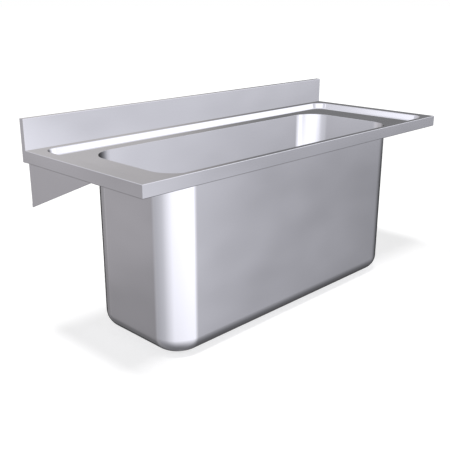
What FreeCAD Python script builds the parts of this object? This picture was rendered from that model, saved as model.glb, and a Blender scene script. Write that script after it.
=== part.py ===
"""Wall-mounted stainless-steel sink: worktop, deep bowl, wall brackets, waste and standpipe.

Millimetres, +Z up. The wall is the plane Y = 0 and the sink stands out from it towards -Y. The origin
is on the wall, at the middle of the worktop's length and at the height of its rim.
"""
import FreeCAD, Part
import math
import os

Vector = FreeCAD.Vector

# Sheet of the worktop, upstand and bowl
SHEET = 1.5
FOLD_RADIUS = 1.0            # inside radius of a folded edge
RECESS_RADIUS = 2.0          # inside radius round the foot of the recess
MOUTH_RADIUS = 0.8           # ground edge of the bowl's mouth

# Bowl, measured inside
BOWL_LENGTH = 1162.0
BOWL_WIDTH = 418.0
BOWL_DEPTH = 598.0           # from the deck to the floor
BOWL_CORNER = 96.5           # radius of the upright corners
BOWL_FLOOR_RADIUS = 58.5     # radius between the wall and the floor
PAN_LIP = 4.0                # straight lip of the floor pan, up to the weld

# Worktop round the bowl, with the recess measured at the rim
SIDE_LAND = 126.0            # between the bowl and the recess's side
FRONT_LAND = 61.5
BACK_LAND = 55.0
DECK_DROP = 24.0             # from the rim down to the deck
DECK_DRAFT = 4.5             # inward lean of the recess's wall over its depth
DECK_CORNER = 48.0
RIM_SIDE = 43.0
RIM_FRONT = 19.0
RIM_BACK = 26.5              # rim between the recess and the upstand
SKIRT_HEIGHT = 40.0
SKIRT_RETURN = 18.0          # inward turn at the foot of the skirt

# Upstand
UPSTAND_HEIGHT = 100.0
UPSTAND_DEPTH = 20.0

# Wall brackets
BRACKET_PLATE = 3.0
BRACKET_FOLD = 1.0           # inside radius of the bracket's folds
BRACKET_DROP = 194.0         # from the rim to the bracket's lowest tip
BRACKET_REACH = 360.0        # from the wall to its nose
BRACKET_NOSE = 14.5          # height of the nose
BRACKET_GAP = 0.5            # clearance to the worktop's folds
WALL_FLANGE = 44.0
WALL_FLANGE_RELIEF = 16.0    # from the tip up to the wall flange
WALL_BOLT_EDGE = 18.0        # from the flange's free edge to a bolt hole
WALL_BOLT_TOP = 62.0         # from the rim to the upper bolt hole
WALL_BOLT_PITCH = 100.0
WALL_BOLT_HOLE = 5.5         # radius, clears an M10 bolt

# Studs and nuts that hold the brackets
STUD_RADIUS = 4.0
STUD_LENGTH = 18.0
STUD_HOLE = 4.5
STUD_INSET = 20.0            # from the recess's side to the studs
STUD_EDGE = 14.0             # from the studs to the flange's free edge
STUD_COUNT = 3
STUD_FIRST = 80.0            # from the wall to the first stud
STUD_NOSE = 30.0             # from the last stud to the nose
WASHER_RADIUS = 8.0
WASHER_THICKNESS = 1.6
WASHER_GAP = 0.2
NUT_FLATS = 13.0
NUT_HEIGHT = 6.5
NUT_GAP = 0.05

# Waste
WASTE_THREAD = 29.8          # radius of the body's thread
WASTE_BORE = 24.5
WASTE_BODY = 32.0            # body below the flange
WASTE_STEP = 3.0             # wall between the body and the outlet
OUTLET_THREAD = 23.9         # radius of the outlet's thread
OUTLET_BORE = 20.0
OUTLET_LENGTH = 34.0
WASTE_FLANGE_RADIUS = 45.0
WASTE_FLANGE = 3.0
WASTE_HOLE_GAP = 1.0         # round the body in the bowl's floor
SEAT_TAPER = 2.5             # how much the seat widens upwards
SEAT_DEPTH = 20.0
OUTLET_CHAMFER = 1.5
DISH_GAP = 6.0               # round the flange in the dish
DISH_SLOPE = 6.0
DRAIN_SIDE_MARGIN = 62.0     # flat floor between the left radius and the dish
DRAIN_BACK_MARGIN = 14.0
TOP_GASKET = 2.0
BOTTOM_GASKET = 3.0
GASKET_RADIUS = 43.0
GASKET_GAP = 0.2
SLIP_WASHER = 1.5
BACKNUT_FLATS = 80.0
BACKNUT_HEIGHT = 12.0
BACKNUT_GAP = 0.15

# Standpipe
TUBE_RADIUS = 21.0
TUBE_WALL = 1.2
OVERFLOW_DROP = 120.0        # from the deck down to the tube's top
PLUG_DEPTH = 18.0            # plug below the floor
PLUG_COLLAR = 12.0           # plug above the floor
PLUG_GAP = 0.3               # plug to seat
PLUG_FIT = 0.05              # plug on tube, cap in tube and knob in cap
SLOT_COUNT = 6
SLOT_WIDTH = 6.0
SLOT_HEIGHT = 24.0
SLOT_TOP = 16.0              # from the tube's top to the slots
CAP_RADIUS = 23.0
CAP_THICKNESS = 4.0
CAP_EDGE = 2.0
CAP_SPIGOT = 10.0
KNOB_STEM = 3.0
KNOB_NECK = 5.0
KNOB_NECK_HEIGHT = 6.0
KNOB_RADIUS = 10.0
KNOB_HEIGHT = 10.0
KNOB_EDGE = 3.0

# Places that follow from the sizes
half_length = BOWL_LENGTH / 2 + SIDE_LAND + RIM_SIDE
bowl_back = -(UPSTAND_DEPTH + RIM_BACK + BACK_LAND)
bowl_front = bowl_back - BOWL_WIDTH
top_front = bowl_front - FRONT_LAND - RIM_FRONT
deck_top = -DECK_DROP
deck_under = deck_top - SHEET
floor_top = deck_top - BOWL_DEPTH
floor_under = floor_top - SHEET
bowl_seam = floor_top + BOWL_FLOOR_RADIUS + PAN_LIP
fold_outside = FOLD_RADIUS + SHEET
bowl_plan = (-BOWL_LENGTH / 2, BOWL_LENGTH / 2, bowl_front, bowl_back)
deck_plan = (
    bowl_plan[0] - SIDE_LAND,
    bowl_plan[1] + SIDE_LAND,
    bowl_front - FRONT_LAND,
    bowl_back + BACK_LAND,
)
top_plan = (-half_length, half_length, top_front, 0.0)

bracket_x = -half_length + SKIRT_RETURN + BRACKET_GAP
bracket_top_z = -SKIRT_HEIGHT - BRACKET_GAP
bracket_back_y = -SHEET - BRACKET_GAP
stud_x = deck_plan[0] + STUD_INSET
stud_span = BRACKET_REACH - STUD_NOSE - STUD_FIRST
stud_ys = [-STUD_FIRST - stud_span * index / (STUD_COUNT - 1) for index in range(STUD_COUNT)]
wall_bolt_x = bracket_x + WALL_FLANGE - WALL_BOLT_EDGE
wall_bolt_zs = [-WALL_BOLT_TOP, -WALL_BOLT_TOP - WALL_BOLT_PITCH]

dish_radius = WASTE_FLANGE_RADIUS + DISH_GAP
dish_depth = TOP_GASKET + WASTE_FLANGE
dish_floor = floor_top - dish_depth
dish_under = floor_under - dish_depth
drain_inset = BOWL_FLOOR_RADIUS + dish_radius + DISH_SLOPE
drain_x = bowl_plan[0] + drain_inset + DRAIN_SIDE_MARGIN
drain_y = bowl_back - drain_inset - DRAIN_BACK_MARGIN
seat_top = WASTE_BORE + SEAT_TAPER
tube_top = deck_top - OVERFLOW_DROP
plug_bottom = floor_top - PLUG_DEPTH

# Overshoot that lets a cut pass clean through a face
THROUGH = 1.0


def close(first, second):
    """True where two lengths are the same."""
    return abs(first - second) < 1e-4


def level_edges(shape, height):
    """Edges that lie flat at one height."""
    found = []
    for edge in shape.Edges:
        box = edge.BoundBox
        if close(box.ZMin, height) and close(box.ZMax, height):
            found.append(edge)
    return found


def upright_edges(shape):
    """Edges that stand straight up."""
    return [edge for edge in shape.Edges if close(edge.BoundBox.XLength + edge.BoundBox.YLength, 0)]


def within(edge, plan):
    """True where an edge lies inside or on a plan outline."""
    box = edge.BoundBox
    slack = 1e-4
    inside_x = box.XMin > plan[0] - slack and box.XMax < plan[1] + slack
    return inside_x and box.YMin > plan[2] - slack and box.YMax < plan[3] + slack


def grown(plan, amount):
    """A plan outline moved outwards all round."""
    return (plan[0] - amount, plan[1] + amount, plan[2] - amount, plan[3] + amount)


def block(left, right, front, back, bottom, top):
    """Square block between six planes."""
    return Part.makeBox(right - left, back - front, top - bottom, Vector(left, front, bottom))


def rounded_block(plan, radius, bottom, top):
    """Upright block with round corners in plan."""
    square = block(*plan, bottom, top)
    return square.makeFillet(radius, upright_edges(square))


def recess_block(growth, bottom, top):
    """Block of the deck's recess, grown by a thickness, whose wall leans outwards up to the rim."""
    outlines = []
    for height in (bottom, top):
        amount = growth + DECK_DRAFT * height / DECK_DROP
        slab = rounded_block(grown(deck_plan, amount), DECK_CORNER + amount, height, height + THROUGH)
        foot = [face for face in slab.Faces if close(face.BoundBox.ZMax, height)]
        outlines.append(foot[0].OuterWire)
    return Part.makeLoft(outlines, True, True)


def ring(outer, inner, bottom, top, x, y):
    """Flat ring about an upright axis."""
    place = Vector(x, y, bottom)
    return Part.makeCylinder(outer, top - bottom, place).cut(Part.makeCylinder(inner, top - bottom, place))


def turned(profile, x, y):
    """Solid of revolution about an upright axis, from (radius, height) points."""
    points = [Vector(x + radius, y, height) for radius, height in profile]
    face = Part.Face(Part.makePolygon(points + points[:1]))
    return face.revolve(Vector(x, y, 0), Vector(0, 0, 1), 360)


def hexagon(flats, bore, bottom, top, x, y):
    """Hexagon nut with a plain bore."""
    corner = flats / math.sqrt(3)
    turns = [math.radians(60 * step) for step in range(7)]
    points = [Vector(x + corner * math.cos(a), y + corner * math.sin(a), bottom) for a in turns]
    prism = Part.Face(Part.makePolygon(points)).extrude(Vector(0, 0, top - bottom))
    return prism.cut(Part.makeCylinder(bore, top - bottom, Vector(x, y, bottom)))


def folded_tray(plan, bottom, top, radius):
    """Block whose left, right and front folds are round, and whose back is square."""
    tray = block(*plan, bottom, top)
    folds = []
    for edge in tray.Edges:
        on_back = close(edge.BoundBox.YMin, plan[3])
        if not on_back:
            folds.append(edge)
    return tray.makeFillet(radius, folds)


def make_worktop():
    """Pressed top: rim, recessed deck with the bowl's mouth, and skirts with their returns."""
    outside = folded_tray(top_plan, -SKIRT_HEIGHT, 0.0, fold_outside)
    # The rim stays square under the upstand, so that its ends stand flush on it.
    for left in (-half_length, half_length - fold_outside):
        corner = block(left, left + fold_outside, -UPSTAND_DEPTH, 0.0, -fold_outside, 0.0)
        outside = outside.fuse(corner)
    hollow_plan = grown(top_plan, -SHEET)
    hollow = folded_tray(hollow_plan, -SKIRT_HEIGHT + SHEET, -SHEET, FOLD_RADIUS)
    underside = block(
        top_plan[0] + SKIRT_RETURN,
        top_plan[1] - SKIRT_RETURN,
        top_plan[2] + SKIRT_RETURN,
        -SHEET,
        -SKIRT_HEIGHT - THROUGH,
        -SKIRT_HEIGHT / 2,
    )
    recess_outside = grown(deck_plan, SHEET)
    top = outside.cut(hollow.fuse(underside))
    top = top.fuse(recess_block(SHEET, deck_under, -SHEET / 2))
    top = top.cut(recess_block(0.0, deck_top, THROUGH))
    mouth = rounded_block(bowl_plan, BOWL_CORNER, deck_under - THROUGH, deck_top + THROUGH)
    top = top.cut(mouth).removeSplitter()

    def loop(height, plan, hole=None):
        edges = [edge for edge in level_edges(top, height) if within(edge, plan)]
        return [edge for edge in edges if hole is None or not within(edge, hole)]

    top = top.makeFillet(fold_outside, loop(0.0, deck_plan))
    top = top.makeFillet(FOLD_RADIUS, loop(-SHEET, recess_outside))
    top = top.makeFillet(RECESS_RADIUS, loop(deck_top, deck_plan, bowl_plan))
    top = top.makeFillet(RECESS_RADIUS + SHEET, loop(deck_under, recess_outside, bowl_plan))
    return top.makeFillet(MOUTH_RADIUS, loop(deck_top, bowl_plan))


def upstand_block(left, right, shrink, radius, bottom):
    """Length of the upstand's section, drawn in by a distance on its three closed sides."""
    section = block(left, right, -UPSTAND_DEPTH + shrink, -shrink, bottom, UPSTAND_HEIGHT - shrink)
    lengthwise = [
        edge for edge in level_edges(section, UPSTAND_HEIGHT - shrink) if close(edge.BoundBox.YLength, 0)
    ]
    return section.makeFillet(radius, lengthwise)


def make_upstand():
    """Folded box along the wall, open at its foot and ends."""
    end = half_length - SHEET
    return upstand_block(-end, end, 0.0, fold_outside, 0.0).cut(
        upstand_block(-end - THROUGH, end + THROUGH, SHEET, FOLD_RADIUS, -THROUGH)
    )


def make_upstand_end(left):
    """Plate that closes one end of the upstand."""
    return upstand_block(left, left + SHEET, 0.0, fold_outside, 0.0)


def make_bowl_wall():
    """Wrapped wall of the bowl, from the floor pan up to the deck."""
    outside = rounded_block(grown(bowl_plan, SHEET), BOWL_CORNER + SHEET, bowl_seam, deck_under)
    inside = rounded_block(bowl_plan, BOWL_CORNER, bowl_seam - THROUGH, deck_under + THROUGH)
    return outside.cut(inside)


def pan_block(growth, top):
    """Rounded block of the floor pan, grown by a thickness."""
    bottom = floor_top - growth
    pan = rounded_block(grown(bowl_plan, growth), BOWL_CORNER + growth, bottom, top)
    return pan.makeFillet(BOWL_FLOOR_RADIUS + growth, level_edges(pan, bottom))


def make_bowl_floor():
    """Pressed floor pan with a dish that the waste sits in."""
    sheet = pan_block(SHEET, bowl_seam)
    hollow = pan_block(0.0, bowl_seam + THROUGH)
    dish_outside = turned(
        [
            (0.0, dish_under),
            (dish_radius + SHEET, dish_under),
            (dish_radius + DISH_SLOPE + SHEET, floor_under),
            (dish_radius + DISH_SLOPE + SHEET, floor_under + SHEET / 2),
            (0.0, floor_under + SHEET / 2),
        ],
        drain_x,
        drain_y,
    )
    dish_inside = turned(
        [
            (0.0, dish_floor),
            (dish_radius, dish_floor),
            (dish_radius + DISH_SLOPE, floor_top),
            (dish_radius + DISH_SLOPE, floor_top + THROUGH),
            (0.0, floor_top + THROUGH),
        ],
        drain_x,
        drain_y,
    )
    hole = Part.makeCylinder(
        WASTE_THREAD + WASTE_HOLE_GAP, 2 * dish_depth, Vector(drain_x, drain_y, dish_under - THROUGH)
    )
    return sheet.cut(hollow).fuse(dish_outside).cut(dish_inside).cut(hole).removeSplitter()


def folded_angle(corner, first, second, length):
    """Angle section with round folds: two legs from a corner, drawn out along a third direction."""
    thickness = BRACKET_PLATE
    along_first = first * (1 / first.Length)
    along_second = second * (1 / second.Length)
    points = [
        corner,
        corner + first,
        corner + first + along_second * thickness,
        corner + (along_first + along_second) * thickness,
        corner + second + along_first * thickness,
        corner + second,
    ]
    angle = Part.Face(Part.makePolygon(points + points[:1])).extrude(length)
    for fold, radius in ((points[0], BRACKET_FOLD + thickness), (points[3], BRACKET_FOLD)):
        edges = [edge for edge in angle.Edges if close(edge.CenterOfMass.sub(fold + length * 0.5).Length, 0)]
        angle = angle.makeFillet(radius, edges)
    return angle


def make_left_bracket():
    """Triangular plate with a flange on the wall and a flange under the deck."""
    top_width = stud_x + STUD_EDGE - bracket_x
    outline = [
        (0.0, -BRACKET_DROP),
        (0.0, deck_under),
        (-BRACKET_REACH, deck_under),
        (-BRACKET_REACH, deck_under - BRACKET_NOSE),
    ]
    points = [Vector(bracket_x, y, z) for y, z in outline]
    triangle = Part.Face(Part.makePolygon(points + points[:1])).extrude(Vector(top_width, 0, 0))
    plate = folded_angle(
        Vector(bracket_x, -BRACKET_REACH, deck_under),
        Vector(0, 0, -BRACKET_DROP - deck_under),
        Vector(top_width, 0, 0),
        Vector(0, BRACKET_REACH, 0),
    ).common(triangle)

    # The top flange stops short of the worktop's back, and the plate turns onto the wall below it.
    right = bracket_x + top_width
    notch = block(bracket_x, right, bracket_back_y, 0.0, bracket_top_z, deck_under)
    flange_foot = -BRACKET_DROP + WALL_FLANGE_RELIEF
    wall_leg = 2 * (BRACKET_FOLD + BRACKET_PLATE)
    turn = block(bracket_x, bracket_x + BRACKET_PLATE, -wall_leg, 0.0, flange_foot, bracket_top_z)
    wall_flange = folded_angle(
        Vector(bracket_x, 0.0, flange_foot),
        Vector(0, -wall_leg, 0),
        Vector(WALL_FLANGE, 0, 0),
        Vector(0, 0, bracket_top_z - flange_foot),
    )
    bracket = plate.cut(notch).cut(turn).fuse(wall_flange).removeSplitter()

    drill_length = BRACKET_PLATE + 2 * THROUGH
    for y in stud_ys:
        start = Vector(stud_x, y, deck_under - BRACKET_PLATE - THROUGH)
        bracket = bracket.cut(Part.makeCylinder(STUD_HOLE, drill_length, start))
    for z in wall_bolt_zs:
        start = Vector(wall_bolt_x, -BRACKET_PLATE - THROUGH, z)
        bracket = bracket.cut(Part.makeCylinder(WALL_BOLT_HOLE, drill_length, start, Vector(0, 1, 0)))
    return bracket


def mirrored(shape):
    """The same shape on the sink's other side."""
    return shape.mirror(Vector(0, 0, 0), Vector(1, 0, 0))


def both_sides(make_one):
    """One small piece at every stud, on the left and on the right."""
    left = [make_one(stud_x, y) for y in stud_ys]
    return Part.makeCompound(left + [mirrored(piece) for piece in left])


def make_stud(x, y):
    """Weld stud that hangs from the deck."""
    return Part.makeCylinder(STUD_RADIUS, STUD_LENGTH, Vector(x, y, deck_under - STUD_LENGTH))


def make_washer(x, y):
    """Plain washer under the bracket's top flange."""
    top = deck_under - BRACKET_PLATE
    return ring(WASHER_RADIUS, STUD_RADIUS + WASHER_GAP, top - WASHER_THICKNESS, top, x, y)


def make_nut(x, y):
    """Hexagon nut under its washer."""
    top = deck_under - BRACKET_PLATE - WASHER_THICKNESS
    return hexagon(NUT_FLATS, STUD_RADIUS + NUT_GAP, top - NUT_HEIGHT, top, x, y)


def make_waste_body():
    """Flanged waste with a conical seat, a threaded body and a narrower threaded outlet."""
    flange_under = floor_top - WASTE_FLANGE
    body_end = flange_under - WASTE_BODY
    outlet_end = body_end - OUTLET_LENGTH
    profile = [
        (OUTLET_BORE, outlet_end),
        (OUTLET_THREAD - OUTLET_CHAMFER, outlet_end),
        (OUTLET_THREAD, outlet_end + OUTLET_CHAMFER),
        (OUTLET_THREAD, body_end),
        (WASTE_THREAD, body_end),
        (WASTE_THREAD, flange_under),
        (WASTE_FLANGE_RADIUS, flange_under),
        (WASTE_FLANGE_RADIUS, floor_top - WASTE_FLANGE / 2),
        (WASTE_FLANGE_RADIUS - WASTE_FLANGE, floor_top),
        (seat_top, floor_top),
        (WASTE_BORE, floor_top - SEAT_DEPTH),
        (WASTE_BORE, body_end + WASTE_STEP),
        (OUTLET_BORE, body_end + WASTE_STEP),
    ]
    return turned(profile, drain_x, drain_y)


def make_top_gasket():
    """Rubber ring between the waste's flange and the dish."""
    inner = WASTE_THREAD + GASKET_GAP
    return ring(GASKET_RADIUS, inner, dish_floor, dish_floor + TOP_GASKET, drain_x, drain_y)


def make_bottom_gasket():
    """Rubber ring under the dish."""
    inner = WASTE_THREAD + GASKET_GAP
    return ring(GASKET_RADIUS, inner, dish_under - BOTTOM_GASKET, dish_under, drain_x, drain_y)


def make_slip_washer():
    """Plastic washer between the lower gasket and the nut."""
    top = dish_under - BOTTOM_GASKET
    return ring(GASKET_RADIUS, WASTE_THREAD + GASKET_GAP, top - SLIP_WASHER, top, drain_x, drain_y)


def make_backnut():
    """Large hexagon nut that clamps the waste to the bowl."""
    top = dish_under - BOTTOM_GASKET - SLIP_WASHER
    bore = WASTE_THREAD + BACKNUT_GAP
    return hexagon(BACKNUT_FLATS, bore, top - BACKNUT_HEIGHT, top, drain_x, drain_y)


def make_standpipe_plug():
    """Conical rubber plug on the foot of the tube."""
    narrowing = SEAT_TAPER * PLUG_DEPTH / SEAT_DEPTH
    outer = seat_top - PLUG_GAP
    inner = TUBE_RADIUS + PLUG_FIT
    profile = [
        (inner, plug_bottom),
        (outer - narrowing, plug_bottom),
        (outer, floor_top),
        (outer, floor_top + PLUG_COLLAR),
        (inner, floor_top + PLUG_COLLAR),
    ]
    return turned(profile, drain_x, drain_y)


def make_standpipe_tube():
    """Overflow tube with slots round its top."""
    tube = ring(TUBE_RADIUS, TUBE_RADIUS - TUBE_WALL, plug_bottom, tube_top, drain_x, drain_y)
    bottom = tube_top - SLOT_TOP - SLOT_HEIGHT
    for index in range(SLOT_COUNT):
        slot = block(0.0, 2 * TUBE_RADIUS, -SLOT_WIDTH / 2, SLOT_WIDTH / 2, 0.0, SLOT_HEIGHT)
        slot.rotate(Vector(0, 0, 0), Vector(0, 0, 1), 360 * index / SLOT_COUNT)
        slot.translate(Vector(drain_x, drain_y, bottom))
        tube = tube.cut(slot)
    return tube


def make_standpipe_cap():
    """Cap whose spigot sits in the tube's top."""
    spigot = TUBE_RADIUS - TUBE_WALL - PLUG_FIT
    hole = KNOB_STEM + PLUG_FIT
    top = tube_top + CAP_THICKNESS
    profile = [
        (hole, tube_top - CAP_SPIGOT),
        (spigot, tube_top - CAP_SPIGOT),
        (spigot, tube_top),
        (CAP_RADIUS, tube_top),
        (CAP_RADIUS, top - CAP_EDGE),
        (CAP_RADIUS - CAP_EDGE, top),
        (hole, top),
    ]
    return turned(profile, drain_x, drain_y)


def make_standpipe_knob():
    """Turned knob whose stem passes through the cap."""
    foot = tube_top + CAP_THICKNESS
    head = foot + KNOB_NECK_HEIGHT
    profile = [
        (0.0, tube_top - CAP_SPIGOT),
        (KNOB_STEM, tube_top - CAP_SPIGOT),
        (KNOB_STEM, foot),
        (KNOB_NECK, foot),
        (KNOB_NECK, head),
        (KNOB_RADIUS, head + KNOB_EDGE),
        (KNOB_RADIUS, head + KNOB_HEIGHT - KNOB_EDGE),
        (KNOB_RADIUS - KNOB_EDGE, head + KNOB_HEIGHT),
        (0.0, head + KNOB_HEIGHT),
    ]
    return turned(profile, drain_x, drain_y)


left_bracket = make_left_bracket()
nodes = {
    "worktop": make_worktop(),
    "rear_upstand": make_upstand(),
    "upstand_end_left": make_upstand_end(-half_length),
    "upstand_end_right": make_upstand_end(half_length - SHEET),
    "bowl_wall": make_bowl_wall(),
    "bowl_floor": make_bowl_floor(),
    "left_bracket": left_bracket,
    "right_bracket": mirrored(left_bracket),
    "bracket_studs": both_sides(make_stud),
    "bracket_washers": both_sides(make_washer),
    "bracket_nuts": both_sides(make_nut),
    "waste_body": make_waste_body(),
    "waste_top_gasket": make_top_gasket(),
    "waste_bottom_gasket": make_bottom_gasket(),
    "waste_slip_washer": make_slip_washer(),
    "waste_backnut": make_backnut(),
    "standpipe_plug": make_standpipe_plug(),
    "standpipe_tube": make_standpipe_tube(),
    "standpipe_cap": make_standpipe_cap(),
    "standpipe_knob": make_standpipe_knob(),
}

os.makedirs("parts", exist_ok=True)
for name, shape in nodes.items():
    shape.exportStep(f"parts/{name}.step")
    box = shape.BoundBox
    corners = f"{box.XMin:.1f} {box.YMin:.1f} {box.ZMin:.1f} to {box.XMax:.1f} {box.YMax:.1f} {box.ZMax:.1f}"
    print(f"{name}: valid {shape.isValid()}, {len(shape.Solids)} solids, {shape.Volume:.0f} mm3, {corners}")
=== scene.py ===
"""Looks of a wall-mounted stainless-steel sink: folded sheets, bowl, brackets, waste and standpipe."""
import math
from collections import namedtuple

import bmesh
import bpy
from bpy.props import FloatProperty, IntProperty, PointerProperty, StringProperty
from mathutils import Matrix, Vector


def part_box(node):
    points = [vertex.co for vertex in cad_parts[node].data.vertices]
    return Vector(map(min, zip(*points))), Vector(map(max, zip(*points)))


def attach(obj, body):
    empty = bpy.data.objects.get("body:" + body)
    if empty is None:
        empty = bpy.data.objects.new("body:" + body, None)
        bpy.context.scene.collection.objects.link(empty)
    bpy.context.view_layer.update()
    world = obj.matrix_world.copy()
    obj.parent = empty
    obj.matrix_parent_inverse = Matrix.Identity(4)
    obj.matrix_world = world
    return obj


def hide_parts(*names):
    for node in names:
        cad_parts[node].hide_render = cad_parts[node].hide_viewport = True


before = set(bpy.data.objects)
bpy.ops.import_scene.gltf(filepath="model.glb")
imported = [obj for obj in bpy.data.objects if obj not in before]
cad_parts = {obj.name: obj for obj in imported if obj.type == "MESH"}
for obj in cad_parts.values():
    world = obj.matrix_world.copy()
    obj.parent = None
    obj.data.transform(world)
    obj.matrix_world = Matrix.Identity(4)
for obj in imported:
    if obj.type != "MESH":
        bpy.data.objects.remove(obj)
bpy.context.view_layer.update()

bl_info = {
    "name": "Wall-mounted steel sink",
    "version": (1, 0, 0),
    "blender": (4, 5, 0),
    "location": "3D View > Sidebar > Sink",
    "description": "Models the sheets, fittings and finishes of a wall-mounted sink round its packed frame",
    "category": "Object",
}

MM = 0.001

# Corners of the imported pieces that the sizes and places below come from
top_low, top_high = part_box("worktop")
upstand_low, upstand_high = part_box("rear_upstand")
end_low, end_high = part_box("upstand_end_left")
wall_low, wall_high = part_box("bowl_wall")
pan_low, pan_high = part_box("bowl_floor")
bracket_low, bracket_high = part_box("left_bracket")
studs_low, studs_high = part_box("bracket_studs")
washers_low, washers_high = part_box("bracket_washers")
nuts_low, nuts_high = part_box("bracket_nuts")
waste_low, waste_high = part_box("waste_body")
top_gasket_low, top_gasket_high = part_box("waste_top_gasket")
gasket_low, gasket_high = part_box("waste_bottom_gasket")
slip_low, slip_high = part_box("waste_slip_washer")
backnut_low, backnut_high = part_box("waste_backnut")
plug_low, plug_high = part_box("standpipe_plug")
tube_low, tube_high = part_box("standpipe_tube")
cap_low, cap_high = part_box("standpipe_cap")
knob_low, knob_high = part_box("standpipe_knob")

drain = (waste_low + waste_high) / 2
floor_top = waste_high.z

# Reaches within which two places, a point and an outline, and doubled points count as one
SAME_PLACE = 0.01 * MM
SAME_OUTLINE = 0.3 * MM
SAME_POINT = 0.001 * MM

# Share of a normal along an axis past which a face looks that way
FACING = 0.9

# Angles past which an edge is shaded sharp and past which it is broken, and how far large faces lead
SHARP_ANGLE = math.radians(35)
BREAK_ANGLE = math.radians(40)
FACE_WEIGHT = 80
ROUND_PROFILE = 0.5

# Faces round small turned pieces, holes and folds
STUD_STEPS = 24
WASHER_STEPS = 32
NUT_STEPS = 48
BACKNUT_STEPS = 96
DISH_STEPS = 96
HOLE_STEPS = 32
FLOOR_STEPS = 64
PLATE_FOLD_STEPS = 6
SLOT_STEPS = 6
MOUTH_STEPS = 3
GROUND_STEPS = 2
PLUG_STEPS = 3
GRIP_STEPS = 4

# A cutter's length over the plate or the slot that it cuts
CUT_REACH = 4
# A slot's end radius over its width, a little under half so that its curves don't meet
SLOT_END = 0.49
# Share of the knob's head over which it widens
KNOB_FLARE = 0.3

# A thread's depth and the two ends of its crest, over its pitch
THREAD_DEPTH = 0.55
CREST_START = 0.4
CREST_END = 0.6

# A nut's cone edges: their angle, their depth over what just meets the flats, and the face they leave
CONE_ANGLE = math.radians(30)
CONE_DEPTH = 1.2
NUT_FACE = 0.97

# Steel: its clouds' slant, how much narrower they are one way and their tones, the reach of its
# patterns, the spread of its gloss, and its relief
CLOUD_SLANT = math.radians(35)
CLOUD_NARROWING = 2
CLOUD_DARK = 0.88
CLOUD_LIGHT = 1.1
PATTERN_LOW = 0.6
PATTERN_HIGH = 1.4
GLOSS_SPREAD = 0.15
GRAIN_RELIEF = 0.12
GRAIN_DEPTH = 0.03 * MM

# Moulded skins: the spread of their tone and of their gloss, and their relief
SKIN_SPREAD = 0.15
SKIN_GLOSS = 0.1
SKIN_RELIEF = 0.3

# Camera: width of its sensor in millimetres, and how far it sees
SENSOR_WIDTH = 36
SIGHT = 200


def length(name, description, default):
    """A length that a user can change."""
    return FloatProperty(name=name, description=description, default=default, unit="LENGTH", precision=5)


def angle(name, description, degrees):
    """An angle that a user can change."""
    return FloatProperty(name=name, description=description, default=math.radians(degrees), subtype="ANGLE")


def number(name, description, default, unit):
    """A number that a user can change, in its unit."""
    return FloatProperty(name=name, description=description, default=default, unit=unit)


def portion(name, description, default):
    """A share from 0 to 1 that a user can change."""
    return FloatProperty(name=name, description=description, default=default, min=0.0, max=1.0,
                         subtype="FACTOR")


def count(name, description, default):
    """A count that a user can change."""
    return IntProperty(name=name, description=description, default=default)


def colour_code(name, description, default):
    """A colour that a user can change, as six hex digits."""
    return StringProperty(name=name, description=description, default=default)


class SinkSheetSizes(bpy.types.PropertyGroup):
    """Sizes of the worktop, the upstand and the bowl."""

    sheet: length("Sheet", "Thickness of the worktop, upstand and bowl", end_high.x - end_low.x)
    fold: length("Fold", "Outside radius of a folded edge", 1.4 * MM)
    wide_fold: length("Wide fold", "Outside radius of the folds at the skirt's foot and recess", 2.5 * MM)
    rim_side: length("Side rim", "Rim left and right of the recess", 43.0 * MM)
    rim_front: length("Front rim", "Rim in front of the recess", 19.0 * MM)
    rim_back: length("Back rim", "Rim between the recess and the upstand", 26.5 * MM)
    skirt_return: length("Skirt return", "Inward turn at the foot of the skirt", 18.0 * MM)
    deck_corner: length("Deck corner", "Radius of the recess's corners", 48.0 * MM)
    deck_draft: length("Deck draft", "Inward lean of the recess's wall over its depth", 4.5 * MM)
    deck_foot: length("Deck foot", "Radius between the recess's wall and the deck", 5.0 * MM)
    mouth_edge: length("Mouth edge", "Ground radius round the bowl's mouth", 0.4 * MM)
    bowl_corner: length("Bowl corner", "Inside radius of the bowl's upright corners", 96.5 * MM)
    bowl_foot: length("Bowl foot", "Inside radius between the bowl's wall and its floor", 58.5 * MM)
    dish_gap: length("Dish gap", "Flat ring of the dish round the waste", 6.0 * MM)
    dish_slope: length("Dish slope", "Width of the dish's sloping edge", 6.0 * MM)
    drain_hole: length("Drain hole", "Radius of the hole for the waste", 30.8 * MM)
    # Width over which the painted highlight on the bowl's upright corners fades into its walls.
    highlight_fade: length("Polish edge", "Width over which the polish of the bowl's radii fades", 15.0 * MM)
    ground_edge: length("Ground edge", "Rounding that grinding leaves on a cut edge", 0.3 * MM)
    corner_steps: count("Corner steps", "Faces round a large corner", 24)
    fold_steps: count("Fold steps", "Faces round a fold", 5)
    foot_steps: count("Foot steps", "Faces round the bowl's foot", 18)


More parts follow.
